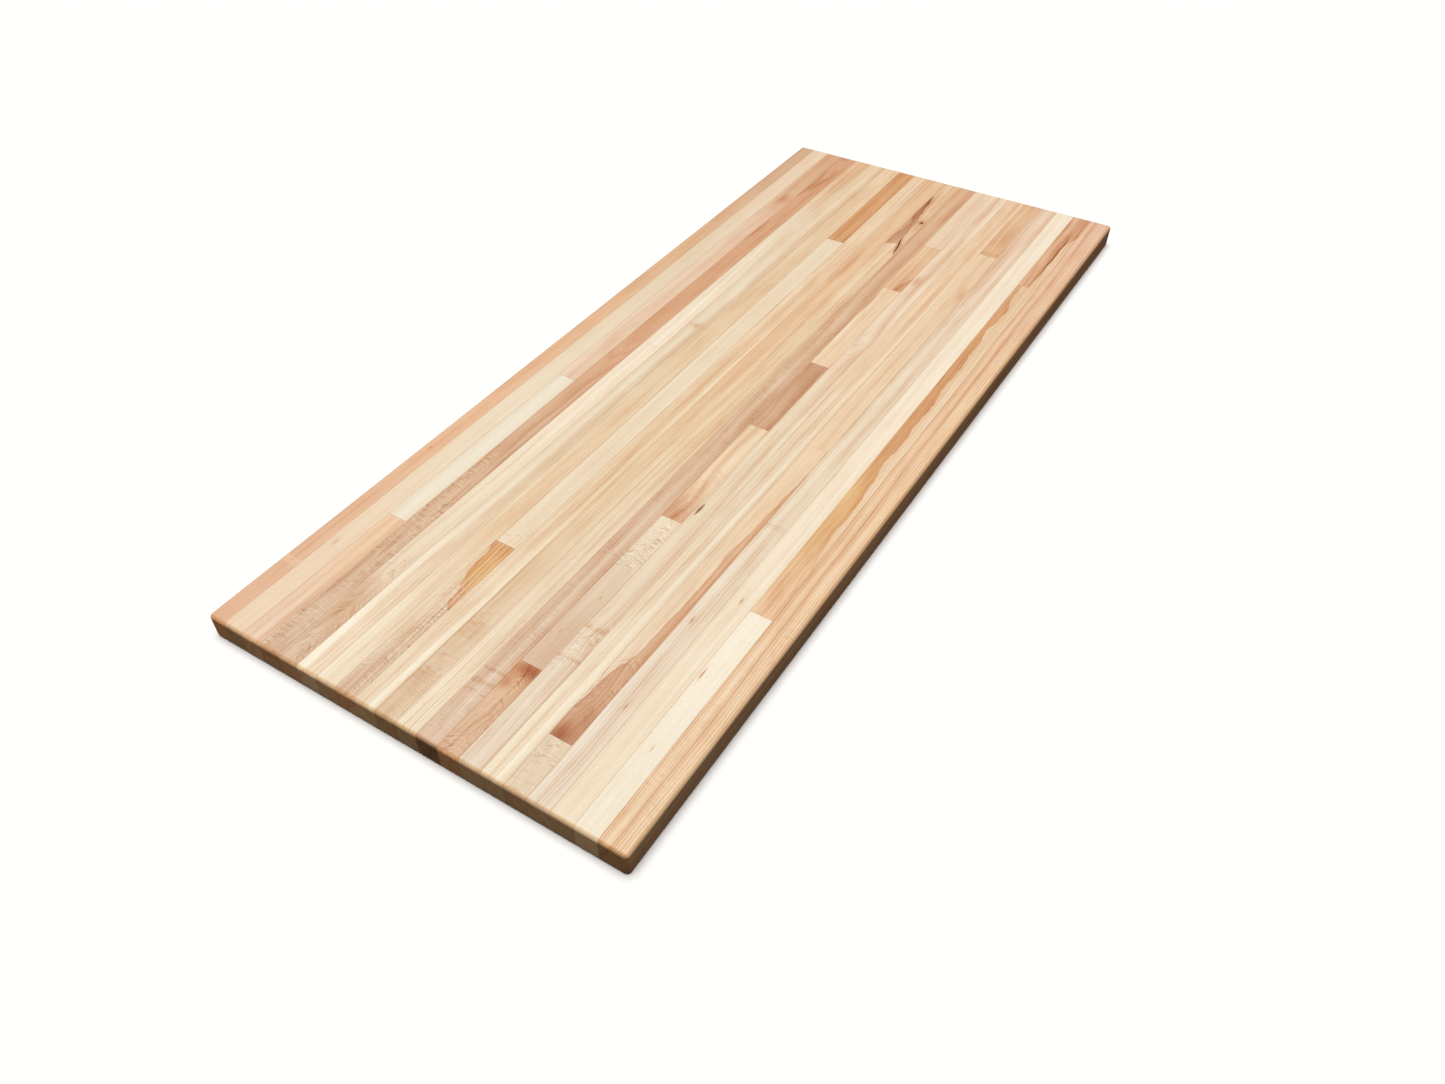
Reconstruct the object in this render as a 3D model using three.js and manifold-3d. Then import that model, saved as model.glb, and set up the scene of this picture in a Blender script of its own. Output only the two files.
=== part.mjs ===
// Butcher block table top in edge-grain hard maple: twenty staves glued side by side into one slab.
// Most staves are one board from end to end, and the rest are pieced from shorter planks with butt
// joints. Millimetres, +Z up. The origin is on the underside, below the middle of the slab.
// +X runs along the staves, and -Y is the front edge, where stave 1 is.
import * as THREE from "three";
import { mergeVertices } from "three/addons/utils/BufferGeometryUtils.js";
import Module from "manifold-3d";

const INCH = 25.4;

// Slab
const LENGTH = 72 * INCH;
const WIDTH = 30 * INCH;
const THICKNESS = 1.75 * INCH;
const CORNER_RADIUS = 7.5; // the four upright corners
const EDGE_RADIUS = 0.25 * INCH; // the roundover along the top and bottom edges
const CORNER_STEPS = 4;
const EDGE_STEPS = 4;

// Staves: the two outer ones are trimmed with the slab, and the others are all the same width
const STAVES = 20;
const STAVE_PITCH = 37.9;
const FIRST_STAVE = 45; // width of stave 1; the last stave takes what is left
const GLUE_LINE = 0.3; // clear gap between neighbouring planks

// Planing blanks are cut this much past the slab, so the slab alone shapes the outside
const BLANK_ALLOWANCE = 10;

// Wood tones, and the roughness of bare sanded maple
const TONES = {
  ivory: 0xf0e3cd,
  cream: 0xeedcc2,
  wheat: 0xe7ceb1,
  blush: 0xebd0b6,
  tan: 0xe2bd98,
  rose: 0xd8b595,
  honey: 0xdfb690,
  russet: 0xd2a47f,
  amber: 0xd19b6d,
};
const ROUGHNESS = 0.5;

// One row per stave, from the front edge to the back: the tone of each plank from the +X end to
// the -X end, and in between the distance in inches from the +X end to the butt joint.
const STAVE_LAYOUT = [
  ["tan"],
  ["russet", 13.1, "honey", 54.9, "ivory"],
  ["cream"],
  ["wheat"],
  ["honey", 10.2, "wheat", 39.7, "tan", 68.1, "blush"],
  ["wheat"],
  ["wheat"],
  ["blush", 11.3, "honey", 19, "wheat", 31.1, "russet", 39.8, "tan", 50.75, "wheat", 64.9, "honey"],
  ["rose"],
  ["tan"],
  ["tan"],
  ["wheat"],
  ["amber", 14.4, "cream", 58.1, "tan"],
  ["wheat"],
  ["wheat"],
  ["wheat", 35.3, "cream"],
  ["russet"],
  ["tan", 42, "ivory", 59.8, "blush"],
  ["cream"],
  ["honey"],
];

const wasm = await Module();
wasm.setup();

// A closed three.js geometry as a solid that can be cut.
function toSolid(geometry) {
  const bare = geometry.clone();
  bare.deleteAttribute("normal");
  bare.deleteAttribute("uv");
  const merged = mergeVertices(bare, 1e-4);
  return new wasm.Manifold(
    new wasm.Mesh({
      numProp: 3,
      vertProperties: merged.attributes.position.array,
      triVerts: new Uint32Array(merged.index.array),
    }),
  );
}

function toGeometry(solid) {
  const mesh = solid.getMesh();
  const geometry = new THREE.BufferGeometry();
  geometry.setAttribute("position", new THREE.BufferAttribute(mesh.vertProperties, 3));
  geometry.setIndex(new THREE.BufferAttribute(mesh.triVerts, 1));
  geometry.computeVertexNormals();
  return geometry;
}

// The outline of the slab seen from above, with its four round corners.
function slabOutline() {
  const cornerX = LENGTH / 2 - CORNER_RADIUS;
  const cornerY = WIDTH / 2 - CORNER_RADIUS;
  const outline = new THREE.Shape();
  outline.absarc(cornerX, cornerY, CORNER_RADIUS, 0, Math.PI / 2);
  outline.absarc(-cornerX, cornerY, CORNER_RADIUS, Math.PI / 2, Math.PI);
  outline.absarc(-cornerX, -cornerY, CORNER_RADIUS, Math.PI, 1.5 * Math.PI);
  outline.absarc(cornerX, -cornerY, CORNER_RADIUS, 1.5 * Math.PI, 2 * Math.PI);
  outline.closePath();
  return outline;
}

// The whole slab with its roundovers, as the glued block leaves the router.
function slabSolid() {
  const geometry = new THREE.ExtrudeGeometry(slabOutline(), {
    depth: THICKNESS - 2 * EDGE_RADIUS,
    curveSegments: CORNER_STEPS,
    bevelThickness: EDGE_RADIUS,
    bevelSize: EDGE_RADIUS,
    bevelOffset: -EDGE_RADIUS,
    bevelSegments: EDGE_STEPS,
  });
  geometry.translate(0, 0, EDGE_RADIUS);
  return toSolid(geometry);
}

// Where a stave starts and ends across the slab, with half a glue line off each glued side.
function staveSides(stave) {
  const front = -WIDTH / 2;
  const firstSeam = front + FIRST_STAVE;
  const isFirst = stave === 1;
  const isLast = stave === STAVES;
  const low = isFirst ? front - BLANK_ALLOWANCE : firstSeam + (stave - 2) * STAVE_PITCH + GLUE_LINE / 2;
  const high = isLast ? WIDTH / 2 + BLANK_ALLOWANCE : firstSeam + (stave - 1) * STAVE_PITCH - GLUE_LINE / 2;
  return [low, high];
}

// The two ends of a plank along the slab, from the joint distances on either side of it.
function plankEnds(jointBefore, jointAfter) {
  const end = LENGTH / 2;
  const high = jointBefore === undefined ? end + BLANK_ALLOWANCE : end - jointBefore * INCH - GLUE_LINE / 2;
  const low = jointAfter === undefined ? -end - BLANK_ALLOWANCE : end - jointAfter * INCH + GLUE_LINE / 2;
  return [low, high];
}

// A plank is its square blank, shaped wherever the slab's outside passes through it.
function plankGeometry(slab, ends, sides) {
  const blank = new THREE.BoxGeometry(
    ends[1] - ends[0],
    sides[1] - sides[0],
    THICKNESS + 2 * BLANK_ALLOWANCE,
  );
  blank.translate((ends[0] + ends[1]) / 2, (sides[0] + sides[1]) / 2, THICKNESS / 2);
  return toGeometry(slab.intersect(toSolid(blank)));
}

function plankName(stave, plank, plankCount) {
  const staveName = "stave_" + String(stave).padStart(2, "0");
  return plankCount === 1 ? staveName : staveName + "_plank_" + plank;
}

function makeStave(slab, stave) {
  const layout = STAVE_LAYOUT[stave - 1];
  const plankCount = (layout.length + 1) / 2;
  const group = new THREE.Group();
  for (let plank = 1; plank <= plankCount; plank += 1) {
    const place = 2 * (plank - 1);
    const ends = plankEnds(layout[place - 1], layout[place + 1]);
    const material = new THREE.MeshStandardMaterial({
      color: TONES[layout[place]],
      roughness: ROUGHNESS,
      metalness: 0,
    });
    const mesh = new THREE.Mesh(plankGeometry(slab, ends, staveSides(stave)), material);
    mesh.name = plankName(stave, plank, plankCount);
    group.add(mesh);
  }
  return group;
}

const tableTop = new THREE.Group();
const slab = slabSolid();
for (let stave = 1; stave <= STAVES; stave += 1) {
  tableTop.add(makeStave(slab, stave));
}

export default tableTop;
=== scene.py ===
"""Looks for an edge-grain maple butcher block table top, laid out as a Blender add-on.

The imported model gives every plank's box. Geometry Nodes turn each box into a finished plank with the
slab's roundovers, and each plank gets its own cut of one procedural maple: growth rings around a pith
line, fibre, pores, curl, heartwood and the few knots and bark seams that a real board carries.
Lengths are metres. "Along" is the distance from the +X end of the slab, given in inches in the tables
below because the joints are laid out in inches, and "across" runs from -1 at a plank's -Y side to 1 at
its +Y side.
"""

import math
import random

import bpy
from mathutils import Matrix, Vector


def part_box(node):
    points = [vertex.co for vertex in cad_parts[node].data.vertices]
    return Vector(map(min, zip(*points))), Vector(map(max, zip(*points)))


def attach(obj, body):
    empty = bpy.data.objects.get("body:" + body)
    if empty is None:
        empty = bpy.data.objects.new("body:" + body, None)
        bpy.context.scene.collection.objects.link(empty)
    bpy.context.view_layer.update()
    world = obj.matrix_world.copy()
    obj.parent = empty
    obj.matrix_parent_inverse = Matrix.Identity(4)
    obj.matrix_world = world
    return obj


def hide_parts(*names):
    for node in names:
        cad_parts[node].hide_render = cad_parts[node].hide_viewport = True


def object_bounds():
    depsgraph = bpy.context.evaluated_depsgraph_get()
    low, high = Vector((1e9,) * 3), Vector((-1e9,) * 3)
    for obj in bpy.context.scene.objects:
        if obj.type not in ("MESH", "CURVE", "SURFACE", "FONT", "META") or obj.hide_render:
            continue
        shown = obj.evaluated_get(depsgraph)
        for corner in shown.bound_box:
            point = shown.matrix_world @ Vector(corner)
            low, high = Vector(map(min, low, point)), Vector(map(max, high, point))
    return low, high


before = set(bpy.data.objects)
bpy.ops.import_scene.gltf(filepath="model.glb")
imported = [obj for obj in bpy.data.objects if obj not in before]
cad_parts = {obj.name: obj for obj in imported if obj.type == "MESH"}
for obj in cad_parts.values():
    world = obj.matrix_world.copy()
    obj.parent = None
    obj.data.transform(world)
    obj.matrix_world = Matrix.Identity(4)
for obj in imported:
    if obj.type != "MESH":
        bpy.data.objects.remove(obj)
CAD_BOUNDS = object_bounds()

bl_info = {
    "name": "Butcher Block Top",
    "version": (1, 0, 0),
    "blender": (4, 5, 0),
    "location": "View3D > Sidebar > Butcher Block",
    "description": "Builds a glued-up maple table top plank by plank, and a studio to look at it in",
    "category": "Object",
}

INCH = 0.0254
MM = 0.001

# The slab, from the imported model
HALF_LENGTH, HALF_WIDTH, THICKNESS = CAD_BOUNDS[1]
NODE_NAMES = sorted(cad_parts)
FULL_STAVES = [name for name in NODE_NAMES if "_plank_" not in name]
PIECED_PLANKS = [name for name in NODE_NAMES if "_plank_" in name]

# What each layer of colour in or on the wood leaves of red, green and blue
FIGURE_TINT = (0.68, 0.44, 0.31)
CURL_TINT = (0.83, 0.76, 0.71)
PORE_TINT = (0.60, 0.45, 0.33)
GLUE_TINT = (0.55, 0.38, 0.24)
# Painted shade, laid on the roundovers at the slab's edges and over the sawn ends
ROUNDOVER_SHADE_TINT = (0.93, 0.77, 0.59)
BARK_AND_SLIT_SHADE = (0.045, 0.022, 0.012, 1)  # the colour of bark and of the knot, and painted shade inside the open slit
WOOD_IOR = 1.47

MEAN_LINE = 0.18  # what the latewood lines come to on average
CHEVRON_OFFSET = 4 * MM  # from a plank's middle to the point of its slanted curl
GLUE_CORE = 0.15 * MM  # the glue line is full to here from a glued face
GLUE_REACH = 0.45 * MM  # and gone from here on
GLUE_MARGIN = 6 * MM  # no glue line this close to the slab's outside

ORIGIN = (0.0, 0.0, 0.0)
UNIT = (1.0, 1.0, 1.0)
HALVES = (0.5, 0.5, 0.5)
TINY = 1e-9  # keeps a division by zero away
FAR = 10.0  # puts a seam out of reach where a plank has none
SEAM_TOUCH = 0.05 * MM  # closer than this is on a glued face
FACE_TOUCH = 0.01 * MM  # closer than this is on the top or bottom face

# Colours of planed maple, from the palest sapwood to heartwood, as sRGB
TONES = {
    "milk": "F1E6D1",
    "cream": "EFE0C8",
    "linen": "EADFC9",
    "ecru": "E8D7BC",
    "shell": "E8CFB3",
    "oat": "E3CFB3",
    "dun": "DDC9AE",
    "pearl": "DFCCB5",
    "wheat": "E7CBAA",
    "straw": "E2C7A4",
    "blush": "E4C6AB",
    "peach": "E6C5A3",
    "biscuit": "E1C19D",
    "dust": "D9BE9F",
    "honey": "E1BC96",
    "salmon": "E4BA96",
    "coral": "DFB697",
    "sand": "DDB58F",
    "mauve": "D5B79C",
    "rose": "D3AF8F",
    "fawn": "D6AB87",
    "russet": "D3A27D",
    "clay": "CA9F7D",
    "ochre": "DAAC77",
    "amber": "D19B6C",
    "cocoa": "B98560",
}


# How each plank looks:
#   tones        tones at equal steps from the +X end of the plank to its -X end
#   rings        growth ring width in mm
#   pith         where the centre of the tree was, in mm across and up from the plank's middle
#   lean         drift of the grain, in mm across per metre along, and lean_up the same upwards
#   contrast     how strongly the grain shows
#   lines        how strongly the latewood lines show beside the broad bands
#   heart        heartwood: side (-1 or 1), tones along it, (along, across) points of its edge, waviness
#   curl         list of (from, to, spacing in mm, strength, slant)
#   bars         list of (along, width in inches, strength): marks straight across the grain
#   swirls       list of (along, across, length in inches, width, push in mm)
#   stains       list of (along, across, length in inches, width, strength)
#   end          brightness of the sawn end on the slab's short sides
PLAIN = {
    "lean_up": 0, "contrast": 1.0, "lines": 1.0, "heart": None, "end": 1.0,
    "curl": [], "bars": [], "swirls": [], "stains": [],
}


def board(tones, rings, pith, lean, **marks):
    return {**PLAIN, "tones": tones, "rings": rings, "pith": pith, "lean": lean, **marks}


PLANK_LOOKS = {
    "stave_01": board("coral honey biscuit", 3.4, (-90, -60), 4, contrast=1.3, lines=2.0,
        curl=[(52, 72, 5, 0.35, 0.0)], end=0.75),
    "stave_02_plank_1": board("fawn peach biscuit", 3.2, (30, -80), 9, lean_up=-8,
        heart=(1, "russet", [(0, -1.3), (3, -1.0), (6, -0.4), (9, -0.25), (13, -0.2)], 0.2),
        stains=[(4.5, -0.1, 2.5, 0.4, 0.3), (8, 0.2, 4, 0.3, 0.2)]),
    "stave_02_plank_2": board("biscuit wheat honey", 3.0, (-50, -70), 8,
        heart=(1, "russet amber amber ochre honey",
               [(13, 0.4), (18, 0.3), (28, 0.0), (38, -0.1), (46, -0.6), (54, -1.0)], 0.4)),
    "stave_02_plank_3": board("milk linen", 2.6, (80, -50), 3, contrast=0.35,
        stains=[(60.4, 0.75, 0.4, 0.08, 1.2), (66, 0.1, 0.25, 0.05, 0.8)], end=1.05),
    "stave_03": board("cream cream ecru", 3.6, (-90, -40), 5, contrast=0.6,
        stains=[(54.5, 0.1, 0.25, 0.06, 1.2)], end=0.88),
    "stave_04": board("blush oat pearl", 3.0, (60, -70), -9, bars=[(48, 0.5, 0.5)],
        stains=[(57.3, 0.3, 0.3, 0.1, 0.8), (64.5, -0.2, 0.25, 0.07, 0.8)]),
    "stave_05_plank_1": board("sand", 3.4, (40, -60), 10, contrast=1.2, bars=[(9.9, 0.7, 0.6)]),
    "stave_05_plank_2": board("wheat", 3.0, (-90, -50), 6, contrast=0.7, stains=[(17, -0.7, 1.2, 0.4, 0.4)]),
    "stave_05_plank_3": board("wheat oat", 2.3, (80, -30), -7, lines=1.3,
        heart=(-1, "sand fawn clay", [(41, -0.95), (52, -0.3), (60, -0.2), (64, 0.8), (68, 1.2)], 0.25),
        swirls=[(64.5, 0.2, 1.8, 1.2, 9)], curl=[(60, 69, 12, 0.9, 0.9)],
        stains=[(67.9, 0.3, 0.9, 0.9, 1.3), (66.2, -0.6, 0.9, 0.5, 0.4)]),
    "stave_05_plank_4": board("dun", 2.6, (50, -80), 3, contrast=0.6, curl=[(67, 73, 5, 1.0, 0.0)],
        end=0.95),
    "stave_06": board("peach wheat oat ecru", 2.2, (-80, -30), -6, contrast=1.1, lines=1.5, end=0.9),
    "stave_07": board("shell shell oat pearl", 2.8, (70, -60), 9,
        swirls=[(26.6, 0.1, 1.9, 1.0, 9), (61.5, 0.1, 1.5, 1.0, -7)],
        curl=[(24, 30, 9, 0.6, 1.0), (59, 65, 14, 0.9, 0.5)], bars=[(60.8, 0.5, 0.6), (63.4, 0.3, 0.6)],
        stains=[(16.8, 0.5, 0.8, 0.4, 0.5)]),
    "stave_08_plank_1": board("shell", 3.0, (-60, -60), 5, contrast=0.5),
    "stave_08_plank_2": board("honey sand", 3.2, (40, -70), 8,
        heart=(-1, "russet", [(15.5, -1.2), (19, -0.1)], 0.1)),
    "stave_08_plank_3": board("wheat", 2.6, (-70, -40), -8, lines=1.3,
        stains=[(21.4, 0.9, 1.6, 0.12, 1.0)]),
    "stave_08_plank_4": board("clay", 2.4, (50, -40), 16, contrast=1.7, swirls=[(38.4, 0.0, 2.2, 1.3, 9)],
        curl=[(34, 41, 9, 0.5, 1.0)]),
    "stave_08_plank_5": board("straw wheat fawn", 2.8, (-60, -70), -14, swirls=[(48.6, 0.0, 2.4, 1.4, 12)],
        curl=[(44, 52, 11, 1.0, 1.2)], stains=[(50.2, 0.1, 1.2, 1.2, 0.4)]),
    "stave_08_plank_6": board("ecru dun mauve", 3.0, (60, -60), 8, contrast=0.5,
        curl=[(49.5, 56.5, 9, 1.5, 0.3)], stains=[(58.7, -0.3, 0.2, 0.05, 1.0), (62, 0.3, 0.2, 0.05, 0.8)]),
    "stave_08_plank_7": board("fawn rose", 2.6, (30, -50), 22, contrast=1.3,
        swirls=[(66.2, 0.1, 1.4, 1.0, 11), (68.6, -0.4, 1.2, 0.8, 8)], curl=[(64, 74, 10, 1.2, 0.9)],
        stains=[(65.3, -0.2, 0.6, 1.2, 1.5), (66.6, 0.5, 0.5, 0.5, 0.6)], end=1.15),
    "stave_09": board("fawn rose mauve", 2.4, (-70, -50), 7, contrast=1.4, lines=1.4,
        curl=[(18, 73, 5, 0.5, 0.0)], bars=[(66.3, 0.25, 0.8), (67.3, 0.35, 0.9), (68.0, 0.15, 0.6)],
        end=0.48),
    "stave_10": board("biscuit wheat straw straw oat ecru", 3.2, (60, -60), -8,
        heart=(1, "cocoa cocoa clay clay russet", [
            (2.7, 1.05), (4.5, 0.6), (6.5, 0.25), (8.5, -0.1), (10.5, -0.35), (12, -0.5), (12.7, 1.3),
        ], 0.15),
        swirls=[(8.5, 0.2, 3.0, 0.9, 12)], curl=[(4, 13, 14, 0.9, 1.2)],
        stains=[(8.5, -0.5, 1.6, 0.5, 0.4), (4.5, 0.4, 2.5, 0.4, 0.35), (12.6, -0.6, 1.2, 0.2, 0.5)],
        end=0.82),
    "stave_11": board("honey honey straw dust", 2.8, (-60, -50), 9,
        bars=[(64.6, 1.6, 0.35), (69.2, 2.0, 0.4)], curl=[(62, 73, 5, 0.6, 0.0)],
        stains=[(17.7, 0.2, 2.2, 0.4, 0.3), (45, -0.4, 3, 0.2, 0.35), (34, -0.2, 4, 0.15, 0.3)], end=0.95),
    "stave_12": board("wheat wheat straw ecru", 3.0, (80, -40), -10, contrast=1.15, lines=1.6,
        stains=[(33, 0.1, 9, 0.2, 0.35), (24, -0.1, 6, 0.15, 0.3)], end=1.05),
    "stave_13_plank_1": board("amber", 2.6, (50, -60), -12, contrast=1.5),
    "stave_13_plank_2": board("ecru", 3.2, (-80, -50), 6, contrast=0.5, curl=[(55.5, 59, 7, 0.7, 0.0)]),
    "stave_13_plank_3": board("wheat oat mauve", 3.2, (-40, -40), 60, contrast=1.3, lines=1.2,
        curl=[(61, 73, 8, 0.9, 0.4)],
        heart=(-1, "fawn ochre ochre sand", [
            (58, 1.2), (59.5, 0.75), (61, 0.6), (62, 0.3), (62.6, -0.1), (63.4, -0.2), (65, -1.4),
        ], 0.3),
        stains=[(58.6, -0.4, 0.8, 0.6, 0.3), (66.5, 0.2, 1.6, 0.8, 0.25)], end=1.3),
    "stave_14": board("wheat straw straw straw ecru", 3.0, (70, -60), 8, end=0.95),
    "stave_15": board("straw oat oat cream", 2.8, (-70, -60), -8, contrast=0.9, bars=[(31.4, 0.3, 0.3)],
        stains=[(31.4, 0.1, 0.5, 0.35, 0.5)], end=1.1),
    "stave_16_plank_1": board("honey ecru cream", 3.2, (60, -50), 7, contrast=0.7,
        stains=[(6, 0.3, 6, 0.9, 0.2)]),
    "stave_16_plank_2": board("cream cream ecru mauve", 3.0, (-50, -60), -6, contrast=0.6,
        swirls=[(66, 0.0, 3.0, 1.0, 9)], curl=[(61, 74, 13, 1.2, 1.3)], stains=[(67, 0.0, 2.6, 1.3, 0.45)],
        end=1.2),
    "stave_17": board("russet russet russet rose mauve", 3.2, (6, -40), 5, lean_up=9, contrast=1.35,
        swirls=[(34, 0.0, 9, 0.9, 5)], curl=[(50, 73, 5, 1.3, 0.0)], end=1.1),
    "stave_18_plank_1": board("fawn blush blush", 2.8, (-60, -50), 8, swirls=[(10.2, 0.2, 1.0, 0.9, 8)],
        stains=[(10.2, 0.1, 0.9, 1.0, 0.5)]),
    "stave_18_plank_2": board("linen", 3.0, (80, -50), 4, contrast=0.35),
    "stave_18_plank_3": board("peach blush", 2.4, (-70, -40), 8, lines=1.5, end=1.15),
    "stave_19": board("shell oat ecru shell", 3.2, (60, -70), -6, contrast=0.5,
        stains=[(63.5, 0.3, 0.3, 0.12, 0.5)], end=0.85),
    "stave_20": board("rose sand salmon coral", 3.0, (-60, -60), 5, contrast=0.7, bars=[(66.1, 0.6, -0.5)],
        stains=[(53.4, 0.1, 0.12, 0.08, 1.0)], end=1.15),
}

# Narrow openings in the wood, each as its own groove: the plank, where it starts and ends
# (along, across), widest opening and depth in mm, how far it sways in mm and over how many inches
GROOVES = {
    "bark_seam": ("stave_02_plank_1", (3.0, -0.26), (12.9, -0.20), 1.4, 1.4, 0.6, 2.7),
    "bark_inclusion": ("stave_10", (10.9, -0.12), (14.1, -0.95), 2.6, 1.8, 0.5, 2.3),
    "bark_tip": ("stave_10", (2.7, 0.93), (5.2, 0.50), 1.4, 1.0, 0.2, 1.1),
    # The open slit's dark lining is painted shade
    "open_slit": ("stave_07", (48.35, 0.64), (49.7, 0.67), 2.0, 6.0, 0.0, 1.0),
}
# A small loose knot: the plank, along, across, radius and depth in mm
PIN_KNOTS = {"pin_knot": ("stave_10", 7.9, -0.62, 3.2, 2.0)}


def linear(hex_colour):
    """An sRGB hex colour as linear red, green, blue and alpha."""
    channels = [int(hex_colour[i:i + 2], 16) / 255 for i in (0, 2, 4)]
    return tuple(c / 12.92 if c <= 0.04045 else ((c + 0.055) / 1.055) ** 2.4 for c in channels) + (1.0,)


# --- Node wiring ---


class Wiring:
    """Adds nodes to one tree. An input takes a plain value or the output socket of another node."""

    def __init__(self, tree):
        self.tree = tree

    def feed(self, socket, value):
        if isinstance(value, bpy.types.NodeSocket):
            self.tree.links.new(value, socket)
        else:
            socket.default_value = value

    def node(self, kind, inputs=None, **settings):
        made = self.tree.nodes.new(kind)
        for name, value in settings.items():
            setattr(made, name, value)
        for key, value in (inputs or {}).items():
            self.feed(made.inputs[key], value)
        return made

    def math(self, operation, *values, clamp=False):
        made = self.node("ShaderNodeMath", operation=operation, use_clamp=clamp)
        for socket, value in zip(made.inputs, values):
            self.feed(socket, value)
        return made.outputs[0]

    def add(self, first, second):
        return self.math("ADD", first, second)

    def sub(self, first, second):
        return self.math("SUBTRACT", first, second)

    def mul(self, first, second):
        return self.math("MULTIPLY", first, second)

    def div(self, first, second):
        return self.math("DIVIDE", first, second)

    def mad(self, first, second, added):
        """First times second, plus what is added."""
        return self.math("MULTIPLY_ADD", first, second, added)

    def vector(self, operation, *values):
        made = self.node("ShaderNodeVectorMath", operation=operation)
        for socket, value in zip(made.inputs, values):
            self.feed(socket, value)
        return made.outputs["Value" if operation == "LENGTH" else "Vector"]

    def split(self, vector):
        return self.node("ShaderNodeSeparateXYZ", {"Vector": vector}).outputs

    def join(self, x, y, z):
        return self.node("ShaderNodeCombineXYZ", {"X": x, "Y": y, "Z": z}).outputs[0]

    def remap(self, value, low, high, to_low=0.0, to_high=1.0, smooth=False):
        shape = "SMOOTHSTEP" if smooth else "LINEAR"
        inputs = {"Value": value, "From Min": low, "From Max": high, "To Min": to_low, "To Max": to_high}
        return self.node("ShaderNodeMapRange", inputs, interpolation_type=shape).outputs[0]

    def noise_outputs(self, place, scale, shift, detail):
        stretched = self.vector("MULTIPLY_ADD", place, scale, shift)
        inputs = {"Vector": stretched, "Scale": 1.0, "Detail": detail, "Roughness": 0.5}
        return self.node("ShaderNodeTexNoise", inputs, noise_dimensions="3D").outputs

    def noise(self, place, scale, shift=ORIGIN, detail=2.0):
        """Fractal noise, about -1 to 1, of a place that is stretched by the scale and then shifted."""
        return self.mad(self.noise_outputs(place, scale, shift, detail)[0], 4.0, -2.0)

    def noise_along(self, value, detail=2.0, roughness=0.5):
        inputs = {"W": value, "Scale": 1.0, "Detail": detail, "Roughness": roughness}
        made = self.node("ShaderNodeTexNoise", inputs, noise_dimensions="1D")
        return self.mad(made.outputs[0], 4.0, -2.0)

    def blend(self, factor, first, second):
        made = self.node("ShaderNodeMix", data_type="RGBA")
        for place, value in ((0, factor), (6, first), (7, second)):
            self.feed(made.inputs[place], value)
        return made.outputs[2]

    def group(self, build, inputs):
        return self.node("ShaderNodeGroup", inputs, node_tree=shared_group(build)).outputs

    def give(self, **results):
        """Makes the group's outputs, feeds them, and returns the finished group."""
        for name, value in results.items():
            kind = OUTPUT_SOCKETS[value.type]
            self.tree.interface.new_socket(name=name, in_out="OUTPUT", socket_type=kind)
        self.node("NodeGroupOutput", results)
        return self.tree


OUTPUT_SOCKETS = {
    "VALUE": "NodeSocketFloat",
    "VECTOR": "NodeSocketVector",
    "RGBA": "NodeSocketColor",
    "GEOMETRY": "NodeSocketGeometry",
}


def input_socket(default):
    """The kind of socket for a default: three numbers are a vector, four a colour, none a material."""
    if default is None:
        return "NodeSocketMaterial"
    if isinstance(default, tuple):
        return "NodeSocketVector" if len(default) == 3 else "NodeSocketColor"
    return "NodeSocketInt" if isinstance(default, int) else "NodeSocketFloat"


def new_group(inputs, kind="ShaderNodeTree"):
    """A node group with these inputs: its wiring, and its input sockets in the same order."""
    tree = bpy.data.node_groups.new("group", kind)
    for label, default in inputs.items():
        socket = tree.interface.new_socket(name=label, in_out="INPUT", socket_type=input_socket(default))
        if default is not None:
            socket.default_value = default
    w = Wiring(tree)
    return w, list(w.node("NodeGroupInput").outputs)[:-1]


def shared_group(build):
    """The node group that a function builds, made the first time it is asked for."""
    name = build.__name__
    if name not in bpy.data.node_groups:
        build().name = name
    return bpy.data.node_groups[name]


def emptied(owner):
    """The wiring of a new material or world, with its first nodes cleared away."""
    owner.use_nodes = True
    owner.node_tree.nodes.clear()
    return Wiring(owner.node_tree)


def add_object(name, data):
    made = bpy.data.objects.new(name, data)
    bpy.context.scene.collection.objects.link(made)
    return made


# --- Maple: each function that ends in _group builds one shader node group ---


def board_position_group():
    """Where a point is on its own plank."""
    w, (middle, half_size) = new_group({"Middle": ORIGIN, "Half Size": UNIT})
    place = w.node("ShaderNodeTexCoord").outputs["Object"]
    local = w.vector("SUBTRACT", place, middle)
    along = w.sub(HALF_LENGTH / INCH, w.div(w.split(place)["X"], INCH))
    across = w.div(w.split(local)["Y"], w.split(half_size)["Y"])
    return w.give(Local=local, Along=along, Across=across)


def spot_group():
    """A soft oval round one place on a plank, 1 in its middle and 0 well outside it."""
    w, (along, across, place, side, length, width) = new_group({
        "Along": 0.0, "Across": 0.0, "Place": 0.0, "Side": 0.0, "Length": 1.0, "Width": 1.0,
    })
    run = w.div(w.sub(along, place), length)
    rise = w.div(w.sub(across, side), width)
    reach = w.add(w.mul(run, run), w.mul(rise, rise))
    return w.give(Spot=w.math("EXPONENT", w.mul(reach, -1.0)))


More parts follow.
